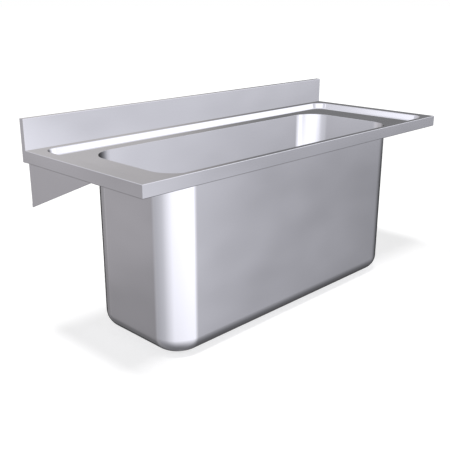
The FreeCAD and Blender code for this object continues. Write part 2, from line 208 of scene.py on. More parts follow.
class SinkFittingSizes(bpy.types.PropertyGroup):
    """Sizes of the brackets, their fixings, the waste and the standpipe."""

    plate: length("Bracket plate", "Thickness of a bracket", 3.0 * MM)
    plate_fold: length("Bracket fold", "Outside radius of a bracket's fold", 4.0 * MM)
    nose: length("Bracket nose", "Height of a bracket's nose", 14.5 * MM)
    wall_flange: length("Wall flange", "Width of a bracket's wall flange", 44.0 * MM)
    flange_relief: length("Flange relief", "From a bracket's tip up to its wall flange", 16.0 * MM)
    bracket_gap: length("Bracket gap", "Clearance of a bracket to the worktop's folds", 0.5 * MM)
    bolt_edge: length("Bolt edge", "From the wall flange's free edge to a bolt hole", 18.0 * MM)
    bolt_top: length("Upper bolt", "From the rim down to the upper bolt hole", 62.0 * MM)
    bolt_pitch: length("Bolt pitch", "Between the bolt holes of a bracket", 100.0 * MM)
    bolt_hole: length("Bolt hole", "Radius of a wall bolt's hole", 5.5 * MM)
    stud: length("Stud", "Outside radius of a weld stud", 4.0 * MM)
    stud_hole: length("Stud hole", "Radius of a stud's hole in the bracket", 4.5 * MM)
    stud_rows: count("Stud rows", "Studs in each bracket", 3)
    stud_pitch: length("Stud pitch", "Pitch of a stud's thread", 1.25 * MM)
    washer_bore: length("Washer bore", "Inside radius of a washer", 4.2 * MM)
    nut_bore: length("Nut bore", "Inside radius of a nut", 4.05 * MM)
    waste_thread: length("Waste thread", "Outside radius of the waste's thread", 29.8 * MM)
    waste_bore: length("Waste bore", "Inside radius of the waste", 24.5 * MM)
    seat_mouth: length("Seat mouth", "Radius of the plug's seat at the floor", 27.0 * MM)
    seat_depth: length("Seat depth", "Depth of the plug's seat", 20.0 * MM)
    waste_flange: length("Waste flange", "Thickness of the waste's flange", 3.0 * MM)
    waste_body: length("Waste body", "Threaded body below the waste's flange", 32.0 * MM)
    waste_step: length("Waste step", "Wall between the waste's body and its outlet", 3.0 * MM)
    outlet_thread: length("Outlet thread", "Outside radius of the outlet's thread", 23.9 * MM)
    outlet_bore: length("Outlet bore", "Inside radius of the outlet", 20.0 * MM)
    pipe_pitch: length("Pipe pitch", "Pitch of the waste's pipe threads", 2.3 * MM)
    gasket_bore: length("Gasket bore", "Inside radius of the gaskets and the slip washer", 30.0 * MM)
    backnut_bore: length("Backnut bore", "Inside radius of the backnut", 29.95 * MM)
    tube_wall: length("Tube wall", "Wall of the standpipe's tube", 1.2 * MM)
    slot_count: count("Slots", "Overflow slots round the tube", 6)
    slot_width: length("Slot width", "Width of an overflow slot", 6.0 * MM)
    slot_height: length("Slot height", "Height of an overflow slot", 24.0 * MM)
    slot_top: length("Slot top", "From the tube's top down to the slots", 16.0 * MM)
    fit: length("Fit", "Clearance of a push fit", 0.05 * MM)
    knob_stem: length("Knob stem", "Radius of the knob's stem in the cap", 3.0 * MM)
    knob_neck: length("Knob neck", "Radius of the knob's neck", 5.0 * MM)
    knob_neck_height: length("Knob neck height", "From the cap up to the knob's head", 6.0 * MM)
    broken_edge: length("Broken edge", "Rounding of a machined or moulded edge", 0.4 * MM)
    fine_edge: length("Fine edge", "Rounding of the washers' and the tube's edges", 0.2 * MM)
    plug_edge: length("Plug edge", "Rounding of the plug's edges", 1.5 * MM)
    cap_edge: length("Cap edge", "Rounding of the cap's edges", 1.0 * MM)
    knob_edge: length("Knob edge", "Rounding of the knob's edges", 1.8 * MM)
    turn_steps: count("Turning steps", "Faces round a turned piece", 64)


class SinkFinishes(bpy.types.PropertyGroup):
    """Colours of the finishes."""

    satin: colour_code("Satin steel", "Worktop, upstand and brackets", "C6C6CF")
    bowl: colour_code("Bowl steel", "Bowl", "C6C6CF")
    # Painted highlight: this lighter colour is laid on the bowl's upright corners to stand in for the
    # bright reflection there.
    radii_highlight: colour_code("Bowl radii", "Polished upright radii of the bowl", "E1E1EB")
    fixing: colour_code("Fixing steel", "Studs, washers and nuts", "B4B5B8")
    polished: colour_code("Polished steel", "Waste and standpipe", "D0D0D4")
    rubber: colour_code("Rubber", "Gaskets and plug", "1C1C1E")
    nylon: colour_code("Nylon", "Slip washer", "E4E2DA")
    brass: colour_code("Brass", "Backnut", "C2A15A")


class SinkStage(bpy.types.PropertyGroup):
    """Camera, floor and light."""

    lens: number("Lens", "Focal length on a 36 mm sensor", 55.72, "CAMERA")
    turn: angle("Turn", "Camera's turn from the front", -45.23)
    tilt: angle("Tilt", "Camera's height angle", 18.41)
    distance: length("Distance", "From the camera to the point it looks at", 2.50503)
    look_x: length("Look at X", "Point that the camera looks at", -0.14414)
    look_y: length("Look at Y", "Point that the camera looks at", -0.3)
    look_z: length("Look at Z", "Point that the camera looks at", -0.32247)
    floor_gap: length("Floor gap", "From the bowl's bottom down to the floor", 1.5 * MM)
    floor_hole: length("Floor hole", "Radius of the hole that the waste hangs through", 60.0 * MM)
    floor_size: length("Floor size", "Radius of the floor", 60.0)
    floor_white: portion("Floor white", "Even part of the floor's white", 0.69)
    floor_paper: portion("Floor paper", "Part of the floor that takes light", 0.5)
    lit_near: length("Lit floor", "From the sink's middle to where the floor turns evenly white", 1.5)
    lit_far: length("White floor", "From the sink's middle to where the floor is evenly white", 5.0)
    ambient: portion("Ambient", "Light from all round", 0.25)
    warmth: portion("Warmth", "Warm tint of the light from the wall's side", 0.03)
    lamp: number("Lamp", "Power of each lamp", 86.0, "POWER")
    lamp_size: length("Lamp size", "Width of a round lamp", 0.8)
    lamp_left: length("Lamps left", "From the sink's middle to the lamps", 0.78)
    lamp_front: length("Lamp front", "From the wall forward to the front lamp", 1.36)
    lamp_back: length("Lamp back", "From the wall back to the back lamp", 0.1)
    lamp_height: length("Lamp height", "From the rim up to the lamps", 3.5)


def linear(code):
    """Linear colour of six sRGB hex digits."""
    parts = [int(code[place:place + 2], 16) / 255 for place in (0, 2, 4)]
    curve = [part / 12.92 if part <= 0.04045 else ((part + 0.055) / 1.055) ** 2.4 for part in parts]
    return (*curve, 1.0)


def shaded(colour, share):
    """A colour made darker or lighter by a share."""
    return (*(part * share for part in colour[:3]), 1.0)


def grey(level):
    """A grey of one level."""
    return (level, level, level, 1.0)


def add_node(tree, kind, inputs=None, **settings):
    """Adds a shader node, sets its options, and sets or links its inputs."""
    made = tree.nodes.new(kind)
    for option, value in settings.items():
        setattr(made, option, value)
    for socket, value in (inputs or {}).items():
        if isinstance(value, bpy.types.NodeSocket):
            tree.links.new(value, made.inputs[socket])
        else:
            made.inputs[socket].default_value = value
    return made


def new_material(name):
    """An empty node material and its tree."""
    material = bpy.data.materials.new(name)
    material.use_nodes = True
    material.node_tree.nodes.clear()
    return material, material.node_tree


def seen_rays(tree):
    """1 where the camera looks, straight or by way of metal or glass, and 0 for light on the pieces."""
    path = add_node(tree, "ShaderNodeLightPath")
    seen = path.outputs["Is Camera Ray"]
    for way in ("Is Glossy Ray", "Is Transmission Ray"):
        seen = add_node(tree, "ShaderNodeMath", {
            0: seen, 1: path.outputs[way],
        }, operation="MAXIMUM").outputs["Value"]
    return seen


def painted_highlight_share(tree, place):
    """A share that is 1 on the bowl's upright corners and fades to 0 on its flat walls and floor: the mask
    of the painted highlight.
    """
    sizes = bpy.context.scene.sink_sheets
    centre = (wall_low + wall_high) / 2
    half = (wall_high - wall_low) / 2
    corner = sizes.bowl_corner + sizes.sheet
    away = add_node(tree, "ShaderNodeVectorMath", {
        0: place, 1: (centre.x, centre.y, floor_top),
    }, operation="SUBTRACT")
    away = add_node(tree, "ShaderNodeVectorMath", {0: away.outputs["Vector"]}, operation="ABSOLUTE")
    past = add_node(tree, "ShaderNodeVectorMath", {
        0: away.outputs["Vector"], 1: (half.x - corner, half.y - corner, 0),
    }, operation="SUBTRACT")
    parts = add_node(tree, "ShaderNodeSeparateXYZ", {"Vector": past.outputs["Vector"]})
    share = 1.0
    for axis in ("X", "Y", "Z"):
        rise = add_node(tree, "ShaderNodeMapRange", {
            "Value": parts.outputs[axis], "From Min": 0.0, "From Max": sizes.highlight_fade,
        }, interpolation_type="SMOOTHSTEP")
        share = add_node(tree, "ShaderNodeMath", {
            0: share, 1: rise.outputs["Result"],
        }, operation="MULTIPLY").outputs["Value"]
    return share


def steel(name, code, roughness, grain, cloud=260, radii_highlight=None):
    """Cold-rolled stainless sheet with a fine brushed grain and soft clouds from rolling.

    The eye sees soft broad reflections, drawn out a little across the grain, with faint even mottling.
    Grain and clouds are in millimetres. Real grain is about 0.2 mm wide. It is drawn 1 mm wide so that it
    shows in a close view. The bowl's upright corners are coloured lighter than its walls, a painted
    highlight.
    """
    material, tree = new_material(name)
    colour = linear(code)
    place = add_node(tree, "ShaderNodeTexCoord").outputs["Object"]
    stretched = add_node(tree, "ShaderNodeMapping", {
        "Vector": place, "Scale": [1 / (size * MM) for size in grain],
    })
    lines = add_node(tree, "ShaderNodeTexNoise", {
        "Vector": stretched.outputs["Vector"], "Scale": 1.0, "Detail": 2.0,
    })
    per_cloud = 1 / (cloud * MM)
    slanting = add_node(tree, "ShaderNodeMapping", {
        "Vector": place, "Rotation": [CLOUD_SLANT] * 3,
        "Scale": (per_cloud, per_cloud, per_cloud * CLOUD_NARROWING),
    })
    clouds = add_node(tree, "ShaderNodeTexNoise", {
        "Vector": slanting.outputs["Vector"], "Scale": 1.0, "Detail": 1.0,
    })
    tone = add_node(tree, "ShaderNodeMix", {
        "Factor": clouds.outputs["Fac"], "A": shaded(colour, CLOUD_DARK), "B": shaded(colour, CLOUD_LIGHT),
    }, data_type="RGBA")
    # Painted highlight: the bowl's upright corners take a lighter colour in place of the clouds.
    if radii_highlight:
        tone = add_node(tree, "ShaderNodeMix", {
            "Factor": painted_highlight_share(tree, place), "A": tone.outputs["Result"], "B": linear(radii_highlight),
        }, data_type="RGBA")
    both = add_node(tree, "ShaderNodeMath", {
        0: lines.outputs["Fac"], 1: clouds.outputs["Fac"],
    }, operation="ADD")
    gloss = add_node(tree, "ShaderNodeMapRange", {
        "Value": both.outputs["Value"], "From Min": PATTERN_LOW, "From Max": PATTERN_HIGH,
        "To Min": roughness * (1 - GLOSS_SPREAD), "To Max": roughness * (1 + GLOSS_SPREAD),
    })
    bump = add_node(tree, "ShaderNodeBump", {
        "Height": lines.outputs["Fac"], "Strength": GRAIN_RELIEF, "Distance": GRAIN_DEPTH,
    })
    shader = add_node(tree, "ShaderNodeBsdfPrincipled", {
        "Base Color": tone.outputs["Result"], "Metallic": 1.0,
        "Roughness": gloss.outputs["Result"], "Normal": bump.outputs["Normal"],
    })
    add_node(tree, "ShaderNodeOutputMaterial", {"Surface": shader.outputs["BSDF"]})
    return material


def moulded(name, code, roughness, grit, depth):
    """Moulded rubber or nylon: a matt skin with the fine even texture of its mould, in millimetres."""
    material, tree = new_material(name)
    colour = linear(code)
    place = add_node(tree, "ShaderNodeTexCoord").outputs["Object"]
    skin = add_node(tree, "ShaderNodeTexNoise", {
        "Vector": place, "Scale": 1 / (grit * MM), "Detail": 3.0,
    })
    tone = add_node(tree, "ShaderNodeMix", {
        "Factor": skin.outputs["Fac"],
        "A": shaded(colour, 1 - SKIN_SPREAD), "B": shaded(colour, 1 + SKIN_SPREAD),
    }, data_type="RGBA")
    gloss = add_node(tree, "ShaderNodeMapRange", {
        "Value": skin.outputs["Fac"], "To Min": roughness - SKIN_GLOSS, "To Max": roughness + SKIN_GLOSS,
    })
    bump = add_node(tree, "ShaderNodeBump", {
        "Height": skin.outputs["Fac"], "Strength": SKIN_RELIEF, "Distance": depth * MM,
    })
    shader = add_node(tree, "ShaderNodeBsdfPrincipled", {
        "Base Color": tone.outputs["Result"], "Roughness": gloss.outputs["Result"],
        "Normal": bump.outputs["Normal"],
    })
    add_node(tree, "ShaderNodeOutputMaterial", {"Surface": shader.outputs["BSDF"]})
    return material


def finish(kind):
    """The material of a finish, made the first time that it is asked for."""
    codes = bpy.context.scene.sink_finishes
    makers = {
        # The worktop's grain runs along it.
        "satin_steel": lambda: steel(
            "satin_stainless_sheet", codes.satin, roughness=0.15, grain=(60, 1, 1),
        ),
        # The bowl's grain runs level round its walls. Its upright corners carry a painted highlight, a
        # lighter colour.
        "bowl_steel": lambda: steel(
            "bowl_steel_painted_highlight", codes.bowl, roughness=0.15, grain=(60, 60, 1), radii_highlight=codes.radii_highlight,
        ),
        # Plain fixings have an even, duller shine with no run of grain.
        "fastener_steel": lambda: steel(
            "plain_stainless_fixing", codes.fixing, roughness=0.35, grain=(2, 2, 2),
        ),
        # Polished pieces were turned, so that their fine rings lie level.
        "polished_steel": lambda: steel(
            "polished_stainless", codes.polished, roughness=0.1, grain=(20, 20, 1),
        ),
        # Rubber is almost black and dull, with a fine grit.
        "black_rubber": lambda: moulded(
            "moulded_rubber", codes.rubber, roughness=0.65, grit=0.6, depth=0.05,
        ),
        # Nylon is off-white and a little waxy, smoother than the rubber.
        "white_nylon": lambda: moulded(
            "moulded_nylon", codes.nylon, roughness=0.45, grit=1.5, depth=0.02,
        ),
        # Cast brass is grainy, with small clouds in its tone.
        "cast_brass": lambda: steel(
            "cast_brass", codes.brass, roughness=0.38, grain=(1.5, 1.5, 1.5), cloud=12,
        ),
    }
    made = bpy.context.scene.get("sink_made_" + kind)
    if made is None:
        made = makers[kind]()
        bpy.context.scene["sink_made_" + kind] = made
    return made


def select_only(piece):
    """Selects one piece and makes it active."""
    bpy.ops.object.select_all(action="DESELECT")
    piece.select_set(True)
    bpy.context.view_layer.objects.active = piece


def new_piece(name, primitive, scale=(1, 1, 1), **options):
    """Adds a primitive with nothing else selected and puts its place and size in its mesh."""
    bpy.ops.object.select_all(action="DESELECT")
    primitive(**options)
    piece = bpy.context.object
    piece.name = name
    piece.data.name = name
    piece.scale = scale
    bpy.ops.object.transform_apply(location=True, rotation=True, scale=True)
    return piece


def block(name, low, high):
    """A block between two corners, to be shaped."""
    return new_piece(name, bpy.ops.mesh.primitive_cube_add, high - low, size=1, location=(low + high) / 2)


def edit(piece):
    """Opens one piece in edit mode with all of it selected."""
    select_only(piece)
    bpy.ops.object.mode_set(mode="EDIT")
    bpy.ops.mesh.select_all(action="SELECT")


def close_edit():
    """Goes back to object mode."""
    bpy.ops.object.mode_set(mode="OBJECT")


def middle(edge):
    """Middle of an edge."""
    return (edge.verts[0].co + edge.verts[1].co) / 2


def near(first, second):
    """True where two places or lengths are the same."""
    return abs(first - second) < SAME_PLACE


def half_width(low, high):
    """Half of a box's width, the radius of a turned piece."""
    return (high.x - low.x) / 2


def pick(kind, test):
    """Selects only those vertices, edges or faces of the piece in edit mode that pass a test."""
    bpy.ops.mesh.select_mode(type=kind)
    bpy.ops.mesh.select_all(action="DESELECT")
    mesh = bpy.context.object.data
    shape = bmesh.from_edit_mesh(mesh)
    items = {"VERT": shape.verts, "EDGE": shape.edges, "FACE": shape.faces}[kind]
    found = [item for item in items if test(item)]
    if not found:
        raise RuntimeError(f"nothing to select on {bpy.context.object.name}")
    for item in found:
        item.select_set(True)
    bmesh.update_edit_mesh(mesh)


def round_edges(radius, steps, test):
    """Bevels the edges that pass a test into a round fold."""
    pick("EDGE", test)
    bpy.ops.mesh.bevel(
        offset=radius, segments=steps, profile=ROUND_PROFILE, affect="EDGES", clamp_overlap=False,
    )


def drop_faces(test):
    """Deletes the faces that pass a test."""
    pick("FACE", test)
    bpy.ops.mesh.delete(type="FACE")


def face_outwards(test):
    """Turns a sheet's faces one way, so that the face that passes a test points out of the metal."""
    bpy.ops.mesh.select_all(action="SELECT")
    bpy.ops.mesh.normals_make_consistent(inside=False)
    shape = bmesh.from_edit_mesh(bpy.context.object.data)
    if not any(test(face) for face in shape.faces):
        bpy.ops.mesh.flip_normals()


def apply_modifier(piece, kind, **settings):
    """Adds a modifier, sets it and applies it."""
    select_only(piece)
    modifier = piece.modifiers.new(kind.title(), kind)
    for option, value in settings.items():
        setattr(modifier, option, value)
    bpy.ops.object.modifier_apply(modifier=modifier.name)


def thicken(piece, thickness):
    """Gives a sheet its thickness, behind the side that shows."""
    apply_modifier(piece, "SOLIDIFY", thickness=thickness, offset=-1.0, use_even_offset=True)


def break_edges(piece, width, steps=2):
    """Rounds the sharp edges of a finished form a little."""
    apply_modifier(piece, "BEVEL", width=width, segments=steps, limit_method="ANGLE",
                   angle_limit=BREAK_ANGLE, use_clamp_overlap=True, harden_normals=False)


def carve(piece, cutter, operation="DIFFERENCE"):
    """Cuts one form with another, which is then deleted."""
    apply_modifier(piece, "BOOLEAN", object=cutter, operation=operation, solver="EXACT")
    bpy.data.objects.remove(cutter)


def drill(piece, radius, depth, place, tilt=0):
    """Drills a round hole through a piece, upright or tilted about X."""
    carve(piece, new_piece(
        "drill", bpy.ops.mesh.primitive_cylinder_add,
        vertices=HOLE_STEPS, radius=radius, depth=depth, location=place, rotation=(tilt, 0, 0),
    ))


def copy_of(piece, name):
    """A copy of a piece with its own mesh."""
    copy = piece.copy()
    copy.data = piece.data.copy()
    copy.name = name
    copy.data.name = name
    bpy.context.scene.collection.objects.link(copy)
    return copy


def mirrored(piece, name):
    """A copy of a piece on the sink's other side."""
    copy = copy_of(piece, name)
    edit(copy)
    bpy.ops.transform.resize(value=(-1, 1, 1), center_override=(0, 0, 0))
    bpy.ops.mesh.normals_make_consistent(inside=False)
    close_edit()
    return copy


def join(pieces, name):
    """Makes one piece of several."""
    bpy.ops.object.select_all(action="DESELECT")
    for piece in pieces:
        piece.select_set(True)
    bpy.context.view_layer.objects.active = pieces[0]
    bpy.ops.object.join()
    pieces[0].name = name
    pieces[0].data.name = name
    return pieces[0]


def dress(piece, body, slot, *nodes):
    """Smooths a finished piece and gives it its finish, its body and the nodes that it stands for."""
    edit(piece)
    bpy.ops.mesh.dissolve_degenerate(threshold=SAME_PLACE)
    close_edit()
    select_only(piece)
    bpy.ops.object.shade_smooth_by_angle(angle=SHARP_ANGLE)
    apply_modifier(piece, "WEIGHTED_NORMAL", keep_sharp=True, weight=FACE_WEIGHT)
    piece.data.materials.clear()
    piece.data.materials.append(finish(slot))
    # The steel shows the studio and not the pieces beside it, so that the bowl's inside stays pale.
    piece.visible_glossy = False
    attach(piece, body)
    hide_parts(*nodes)


# A level outline: its four sides, the radius of its corners and its height
Outline = namedtuple("Outline", "left right front back radius height")


def on_outline(outline):
    """A test for edges that lie along an outline."""
    centre_x = (outline.left + outline.right) / 2
    centre_y = (outline.front + outline.back) / 2

    def near_line(point):
        radius = outline.radius
        over_x = abs(point.x - centre_x) - (outline.right - centre_x - radius)
        over_y = abs(point.y - centre_y) - (outline.back - centre_y - radius)
        gap = math.hypot(max(over_x, 0), max(over_y, 0)) + min(max(over_x, over_y), 0) - radius
        return near(point.z, outline.height) and abs(gap) < SAME_OUTLINE

    return lambda edge: all(near_line(corner.co) for corner in edge.verts)


def add_outline(outline, steps):
    """Adds a level outline with round corners to the piece in edit mode."""
    size = (outline.right - outline.left, outline.back - outline.front, 1)
    place = ((outline.left + outline.right) / 2, (outline.front + outline.back) / 2, outline.height)
    bpy.ops.mesh.primitive_plane_add(size=1, location=place)
    bpy.ops.transform.resize(value=size, center_override=place)
    columns = (outline.left, outline.right)
    rows = (outline.front, outline.back) if outline.radius else ()
    for row in rows:
        pick("VERT", lambda corner: near(corner.co.y, row) and near(corner.co.z, outline.height)
             and any(near(corner.co.x, column) for column in columns))
        bpy.ops.mesh.bevel(
            offset=outline.radius, segments=steps, profile=ROUND_PROFILE, affect="VERTICES",
            clamp_overlap=False,
        )
    drop = on_outline(outline)
    pick("FACE", lambda face: all(drop(edge) for edge in face.edges))
    bpy.ops.mesh.delete(type="ONLY_FACE")


def bridge(first, second):
    """Closes the sheet between two outlines. The first is lifted meanwhile so that nothing twists."""
    lift = second.right - second.left
    lifted = first._replace(height=first.height + lift)
    pick("EDGE", on_outline(first))
    bpy.ops.transform.translate(value=(0, 0, lift))
    on_lifted = on_outline(lifted)
    on_second = on_outline(second)
    pick("EDGE", lambda edge: on_lifted(edge) or on_second(edge))
    bpy.ops.mesh.bridge_edge_loops()
    pick("EDGE", on_lifted)
    bpy.ops.transform.translate(value=(0, 0, -lift))


class SINK_OT_worktop(bpy.types.Operator):
    """Fold the worktop: rim, recessed deck, mouth of the bowl, skirts and their returns"""

    bl_idname = "sink.worktop"
    bl_label = "Worktop"

    def execute(self, context):
        sizes = context.scene.sink_sheets
        sheet = sizes.sheet
        turn = sizes.skirt_return
        deck_z = wall_high.z + sheet
        skirt_z = top_low.z
        back_flange = top_high.y - sheet
        rim_sides = (top_low.x, top_high.x, top_low.y, top_high.y)
        recess = (
            top_low.x + sizes.rim_side,
            top_high.x - sizes.rim_side,
            top_low.y + sizes.rim_front,
            upstand_low.y - sizes.rim_back,
            sizes.deck_corner,
        )
        draft = sizes.deck_draft
        lean = (draft, -draft, draft, -draft, -draft)
        mouth = (wall_low.x + sheet, wall_high.x - sheet, wall_low.y + sheet, wall_high.y - sheet)
        outlines = [
            Outline(top_low.x + turn, top_high.x - turn, top_low.y + turn, back_flange, 0, skirt_z),
            Outline(*rim_sides, 0, skirt_z),
            Outline(*rim_sides, 0, top_high.z),
            Outline(*recess, top_high.z),
            Outline(*(side + shift for side, shift in zip(recess, lean)), deck_z),
            Outline(*mouth, sizes.bowl_corner, deck_z),
        ]

        piece = new_piece("worktop_sheet", bpy.ops.mesh.primitive_plane_add, size=1)
        edit(piece)
        bpy.ops.mesh.delete(type="VERT")
        for outline in outlines:
            add_outline(outline, sizes.corner_steps)
        for first, second in zip(outlines, outlines[1:]):
            bridge(first, second)
        face_outwards(lambda face: face.normal.z > FACING and near(face.calc_center_median().z, deck_z))
        # The back skirt lies on the wall and has no return.
        drop_faces(lambda face: face.normal.z < -FACING and face.calc_center_median().y > back_flange)

        # The rim stays square under the upstand, flush with its end plates.
        square = upstand_low.y
        bpy.ops.mesh.select_all(action="SELECT")
        bpy.ops.mesh.bisect(plane_co=(0, square, 0), plane_no=(0, 1, 0))
        pick("FACE", lambda face: face.calc_center_median().y > square)
        bpy.ops.mesh.split()
        tests = [on_outline(outline) for outline in outlines[1:]]
        skirt_foot, rim, recess_top, recess_foot, mouth_edge = tests
        for radius, test in ((sizes.wide_fold, skirt_foot), (sizes.fold, rim)):
            round_edges(radius, sizes.fold_steps, lambda edge: test(edge) and middle(edge).y < square)
        round_edges(sizes.wide_fold, sizes.fold_steps, recess_top)
        round_edges(sizes.deck_foot, sizes.fold_steps, recess_foot)
        close_edit()
        thicken(piece, sheet)
        edit(piece)
        round_edges(sizes.mouth_edge, MOUTH_STEPS, mouth_edge)
        close_edit()
        dress(piece, "sink", "satin_steel", "worktop")
        return {"FINISHED"}


class SINK_OT_upstand(bpy.types.Operator):
    """Fold the upstand and close its ends with plates"""

    bl_idname = "sink.upstand"
    bl_label = "Upstand"

    def execute(self, context):
        sizes = context.scene.sink_sheets
        top_z = upstand_high.z
        piece = block("upstand_box", upstand_low, upstand_high)
        edit(piece)
        drop_faces(lambda face: face.normal.z < -FACING or abs(face.normal.x) > FACING)
        round_edges(sizes.fold, sizes.fold_steps, lambda edge: near(middle(edge).z, top_z)
                    and near(middle(edge).x, 0))
        face_outwards(lambda face: face.normal.z > FACING)
        close_edit()
        thicken(piece, sizes.sheet)
        dress(piece, "sink", "satin_steel", "rear_upstand")

        plate = block("upstand_end_plate_left", end_low, end_high)
        plate_x = (end_low.x + end_high.x) / 2
        edit(plate)
        round_edges(sizes.fold, sizes.fold_steps, lambda edge: near(middle(edge).z, top_z)
                    and near(middle(edge).x, plate_x))
        round_edges(sizes.ground_edge, GROUND_STEPS, lambda edge: near(middle(edge).x, end_low.x)
                    and middle(edge).z > top_high.z + sizes.fold)
        close_edit()
        other = mirrored(plate, "upstand_end_plate_right")
        dress(plate, "sink", "satin_steel", "upstand_end_left")
        dress(other, "sink", "satin_steel", "upstand_end_right")
        return {"FINISHED"}


class SINK_OT_bowl(bpy.types.Operator):
    """Draw the bowl: wall and floor as one ground sheet, with the dish for the waste"""

    bl_idname = "sink.bowl"
    bl_label = "Bowl"

    def execute(self, context):
        sizes = context.scene.sink_sheets
        sheet = sizes.sheet
        low = Vector((wall_low.x + sheet, wall_low.y + sheet, floor_top))
        high = Vector((wall_high.x - sheet, wall_high.y - sheet, wall_high.z))
        dish_z = pan_low.z + sheet
        dish = half_width(waste_low, waste_high) + sizes.dish_gap
        centre = Vector((drain.x, drain.y, floor_top))

        piece = block("bowl_shell", low, high)
        edit(piece)
        drop_faces(lambda face: face.normal.z > FACING)
        half_height = (low.z + high.z) / 2
        round_edges(sizes.bowl_corner, sizes.corner_steps, lambda edge: near(middle(edge).z, half_height))
        round_edges(sizes.bowl_foot, sizes.foot_steps, lambda edge: near(middle(edge).z, low.z))
        pick("FACE", lambda face: abs(face.normal.z) > FACING and near(face.calc_center_median().z, low.z))
        bpy.ops.mesh.delete(type="ONLY_FACE")

        # The dish is a ring drawn down and then inwards to the drain's hole.
        bpy.ops.mesh.select_mode(type="EDGE")
        brim = dish + sizes.dish_slope
        bpy.ops.mesh.primitive_circle_add(vertices=DISH_STEPS, radius=brim, location=centre)
        for share, drop in ((dish / brim, dish_z - floor_top), (sizes.drain_hole / dish, 0)):
            bpy.ops.mesh.extrude_region_move(TRANSFORM_OT_translate={"value": (0, 0, drop)})
            bpy.ops.transform.resize(value=(share, share, 1), center_override=centre)
        pick("EDGE", lambda edge: edge.is_boundary and near(middle(edge).z, low.z))
        bpy.ops.mesh.fill(use_beauty=True)
        face_outwards(lambda face: face.normal.z > FACING and near(face.calc_center_median().z, low.z))
        close_edit()
        thicken(piece, sheet)
        dress(piece, "sink", "bowl_steel", "bowl_wall", "bowl_floor")
        return {"FINISHED"}


def stud_places(sizes):
    """Where the studs stand in the left bracket, from its nose to the wall."""
    x = studs_low.x + sizes.stud
    first = studs_low.y + sizes.stud
    span = studs_high.y - studs_low.y - 2 * sizes.stud
    return [(x, first + span * row / (sizes.stud_rows - 1)) for row in range(sizes.stud_rows)]


class SINK_OT_brackets(bpy.types.Operator):
    """Fold the two triangular brackets and drill them"""

    bl_idname = "sink.brackets"
    bl_label = "Brackets"

    def execute(self, context):
        sizes = context.scene.sink_fittings
        side = bracket_low.x
        back = bracket_high.y
        top = bracket_high.z
        tip = bracket_low.z
        nose_z = top - sizes.nose
        flange_foot = tip + sizes.flange_relief
        flange_top = top_low.z - sizes.bracket_gap
        notch = back - context.scene.sink_sheets.sheet - sizes.bracket_gap

        piece = new_piece(
            "bracket_plate_left",
            bpy.ops.mesh.primitive_plane_add,
            size=1,
            location=(side, (bracket_low.y + back) / 2, (tip + top) / 2),
            rotation=(0, math.radians(-90), 0),
            scale=(top - tip, back - bracket_low.y, 1),
        )
        edit(piece)
        slope = Vector((0, nose_z - tip, back - bracket_low.y))
        bpy.ops.mesh.bisect(plane_co=(side, back, tip), plane_no=slope, clear_inner=True)
        up = Vector((0, 0, 1))
        inwards = Vector((0, 1, 0))
        for across, place in ((up, flange_foot), (up, flange_top), (inwards, notch)):
            bpy.ops.mesh.select_all(action="SELECT")
            bpy.ops.mesh.bisect(plane_co=place * across, plane_no=across)

        def in_notch(face):
            point = face.calc_center_median()
            return point.y > notch and point.z > flange_top

        def wall_fold(edge):
            point = middle(edge)
            on_wall = all(near(corner.co.y, back) for corner in edge.verts)
            return on_wall and near(point.x, side) and flange_foot < point.z < flange_top

        def top_fold(edge):
            return near(middle(edge).z, top) and near(middle(edge).x, side)

        drop_faces(in_notch)
        pick("EDGE", wall_fold)
        bpy.ops.mesh.extrude_region_move(TRANSFORM_OT_translate={"value": (sizes.wall_flange, 0, 0)})
        pick("EDGE", top_fold)
        bpy.ops.mesh.extrude_region_move(TRANSFORM_OT_translate={"value": (bracket_high.x - side, 0, 0)})
        round_edges(sizes.plate_fold, PLATE_FOLD_STEPS, wall_fold)
        round_edges(sizes.plate_fold, PLATE_FOLD_STEPS, top_fold)
        face_outwards(lambda face: face.normal.x < -FACING)
        close_edit()
        thicken(piece, sizes.plate)
        break_edges(piece, sizes.broken_edge)

        depth = CUT_REACH * sizes.plate
        for x, y in stud_places(sizes):
            drill(piece, sizes.stud_hole, depth, (x, y, top))
        bolt_x = side + sizes.wall_flange - sizes.bolt_edge
        for bolt_z in (-sizes.bolt_top, -sizes.bolt_top - sizes.bolt_pitch):
            drill(piece, sizes.bolt_hole, depth, (bolt_x, back, bolt_z), math.radians(90))
        other = mirrored(piece, "bracket_plate_right")
        dress(piece, "sink", "satin_steel", "left_bracket")
        dress(other, "sink", "satin_steel", "right_bracket")
        return {"FINISHED"}


def turned(name, profile, axis, steps):
    """A turned piece: a point drawn along a profile of (radius, height), then spun about the axis."""
    points = [Vector((axis.x + radius, axis.y, height)) for radius, height in profile]
    piece = new_piece(name, bpy.ops.mesh.primitive_plane_add, size=MM, location=points[0])
    edit(piece)
    bpy.ops.mesh.select_mode(type="VERT")
    bpy.ops.mesh.merge(type="CENTER")
    for start, end in zip(points, points[1:] + points[:1]):
        bpy.ops.mesh.extrude_region_move(TRANSFORM_OT_translate={"value": end - start})
    bpy.ops.mesh.select_all(action="SELECT")
    bpy.ops.mesh.remove_doubles(threshold=SAME_POINT)
    bpy.ops.mesh.spin(steps=steps, angle=2 * math.pi, center=(axis.x, axis.y, 0), axis=(0, 0, 1))
    bpy.ops.mesh.select_all(action="SELECT")
    bpy.ops.mesh.remove_doubles(threshold=SAME_POINT)
    bpy.ops.mesh.delete_loose()
    bpy.ops.mesh.select_all(action="SELECT")
    bpy.ops.mesh.normals_make_consistent(inside=False)
    close_edit()
    return piece


def ring(bore, outside, bottom, top):
    """Profile of a plain ring."""
    return [(bore, bottom), (outside, bottom), (outside, top), (bore, top)]


